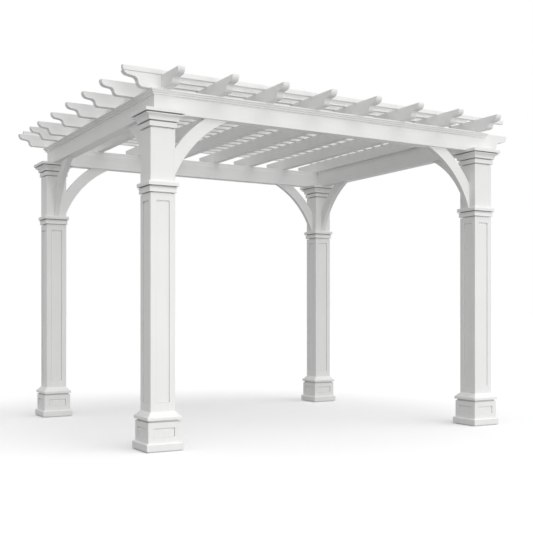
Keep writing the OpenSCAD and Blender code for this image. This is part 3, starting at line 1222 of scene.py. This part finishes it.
@dataclass(frozen=True)
class Studio:
    """White studio: even sky, soft lamp from above the front, low soft box and white floor.

    Attributes:
        sky: Brightness of the sky as a lamp.
        lamp: Strength of the soft sun lamp.
        lamp_from: Direction the lamp shines from.
        lamp_spread: Angle of the lamp in degrees, which softens its shadows.
        fill: Power of the low soft box in front, which lights the inside under the roof.
        fill_place: Place of the soft box's middle in metres.
        fill_size: Width and height of the soft box in metres.
        floor_size: Half the width of the floor in metres.
        floor_bounce: How much light the floor throws back onto the object.
        floor_tone: How white the floor looks to the camera.
        floor_glow: White that the camera sees on the floor, lit or not, in the middle and far off.
        glow_reach: Distances from the middle between which that white rises, in metres.
        floor_gap: Distance of the floor below the ground level of the part, in metres.
    """

    sky: float = 0.592
    lamp: float = 1.12
    lamp_from: tuple[float, float, float] = (0.14, -0.46, 0.86)
    lamp_spread: float = 60.0
    fill: float = 488.0
    fill_place: tuple[float, float, float] = (0.0, -14.0, 1.4)
    fill_size: tuple[float, float] = (9.0, 2.2)
    floor_size: float = 200.0
    floor_bounce: float = 0.32
    floor_tone: float = 1.0
    floor_glow: tuple[float, float] = (0.04, 0.14)
    glow_reach: tuple[float, float] = (1.8, 3.6)
    floor_gap: float = 0.0005

    def build(self) -> None:
        """Adds sky, lamps and floor and sets plain view colours."""
        scene = bpy.context.scene
        scene.view_settings.view_transform = "Standard"
        self.add_sky(scene)
        self.add_lamp(scene)
        self.add_fill(scene)
        self.add_floor(scene)

    def add_sky(self, scene: bpy.types.Scene) -> None:
        """Even sky that the camera sees as plain white.

        Args:
            scene: Scene that gets it.
        """
        world = bpy.data.worlds.new("white_sky")
        world.use_nodes = True
        nodes, links = world.node_tree.nodes, world.node_tree.links
        light, seen = nodes["Background"], nodes.new("ShaderNodeBackground")
        for background, strength in ((light, self.sky), (seen, 1.0)):
            background.inputs["Color"].default_value = WHITE
            background.inputs["Strength"].default_value = strength
        mix = nodes.new("ShaderNodeMixShader")
        links.new(self._seen_rays(nodes, links), mix.inputs["Fac"])
        links.new(light.outputs["Background"], mix.inputs[1])
        links.new(seen.outputs["Background"], mix.inputs[2])
        links.new(mix.outputs["Shader"], nodes["World Output"].inputs["Surface"])
        scene.world = world

    @staticmethod
    def _seen_rays(nodes: bpy.types.Nodes, links: bpy.types.NodeLinks) -> bpy.types.NodeSocket:
        """Adds a switch that is 1 for what the camera sees, directly, mirrored or through glass.

        Args:
            nodes: Nodes of the material or the sky.
            links: Links of the material or the sky.

        Returns:
            The socket that gives the switch.
        """
        path = nodes.new("ShaderNodeLightPath")
        seen = path.outputs["Is Camera Ray"]
        for kind in ("Is Glossy Ray", "Is Transmission Ray"):
            either = nodes.new("ShaderNodeMath")
            either.operation = "MAXIMUM"
            links.new(seen, either.inputs[0])
            links.new(path.outputs[kind], either.inputs[1])
            seen = either.outputs["Value"]
        return seen

    def add_lamp(self, scene: bpy.types.Scene) -> None:
        """Soft sun lamp, turned to shine from its direction.

        Args:
            scene: Scene that gets it.
        """
        data = bpy.data.lights.new("soft_lamp", "SUN")
        data.energy = self.lamp
        data.angle = math.radians(self.lamp_spread)
        lamp = bpy.data.objects.new("soft_lamp", data)
        x, y, z = self.lamp_from
        tilt, turn = math.atan2(math.hypot(x, y), z), math.atan2(y, x) + math.pi / 2.0
        lamp.rotation_euler = (tilt, 0.0, turn)
        scene.collection.objects.link(lamp)

    def add_fill(self, scene: bpy.types.Scene) -> None:
        """Low soft box in front that faces the pergola and stays out of the picture.

        Args:
            scene: Scene that gets it.
        """
        data = bpy.data.lights.new("front_fill", "AREA")
        data.energy = self.fill
        data.shape = "RECTANGLE"
        data.size, data.size_y = self.fill_size
        fill = bpy.data.objects.new("front_fill", data)
        fill.location = self.fill_place
        fill.rotation_euler = (math.radians(90.0), 0.0, 0.0)
        fill.visible_camera = False
        scene.collection.objects.link(fill)

    def add_floor(self, scene: bpy.types.Scene) -> None:
        """White floor that keeps the object's shadow and throws back less light than it shows.

        Args:
            scene: Scene that gets it.
        """
        material = bpy.data.materials.new("white_floor")
        material.use_nodes = True
        nodes, links = material.node_tree.nodes, material.node_tree.links
        nodes.remove(nodes["Principled BSDF"])
        seen, bounced = nodes.new("ShaderNodeBsdfDiffuse"), nodes.new("ShaderNodeBsdfDiffuse")
        seen.inputs["Color"].default_value = (self.floor_tone,) * 3 + (1.0,)
        bounced.inputs["Color"].default_value = (self.floor_bounce,) * 3 + (1.0,)
        glow = nodes.new("ShaderNodeEmission")
        place, away = nodes.new("ShaderNodeTexCoord"), nodes.new("ShaderNodeVectorMath")
        away.operation = "LENGTH"
        links.new(place.outputs["Object"], away.inputs[0])
        rise = map_range(nodes, self.glow_reach, self.floor_glow)
        links.new(away.outputs["Value"], rise.inputs["Value"])
        links.new(rise.outputs["Result"], glow.inputs["Strength"])
        lit = nodes.new("ShaderNodeAddShader")
        links.new(seen.outputs["BSDF"], lit.inputs[0])
        links.new(glow.outputs["Emission"], lit.inputs[1])
        mix = nodes.new("ShaderNodeMixShader")
        links.new(self._seen_rays(nodes, links), mix.inputs["Fac"])
        links.new(bounced.outputs["BSDF"], mix.inputs[1])
        links.new(lit.outputs["Shader"], mix.inputs[2])
        links.new(mix.outputs["Shader"], nodes["Material Output"].inputs["Surface"])
        mesh = bpy.data.meshes.new("floor")
        half = self.floor_size
        corners = [(-half, -half, 0), (half, -half, 0), (half, half, 0), (-half, half, 0)]
        mesh.from_pydata(corners, [], [(0, 1, 2, 3)])
        mesh.materials.append(material)
        floor = bpy.data.objects.new("floor", mesh)
        floor.location.z = -self.floor_gap
        scene.collection.objects.link(floor)


def main() -> None:
    """Builds the dressed pergola, the studio and the camera."""
    corners = ("front_left", "front_right", "back_left", "back_right")
    for corner in corners:
        Post(corner).build()
        KneeBrace(f"{corner}_{corner.split('_')[0]}_brace", Run.ALONG_X).build()
        KneeBrace(f"{corner}_side_brace", Run.ALONG_Y).build()
    BeamRing().build()
    Roof().build()
    Studio().build()
    PhotoCamera().build()
    LOG.info("%d CAD nodes dressed", len(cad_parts))


if __name__ == "__main__":
    main()
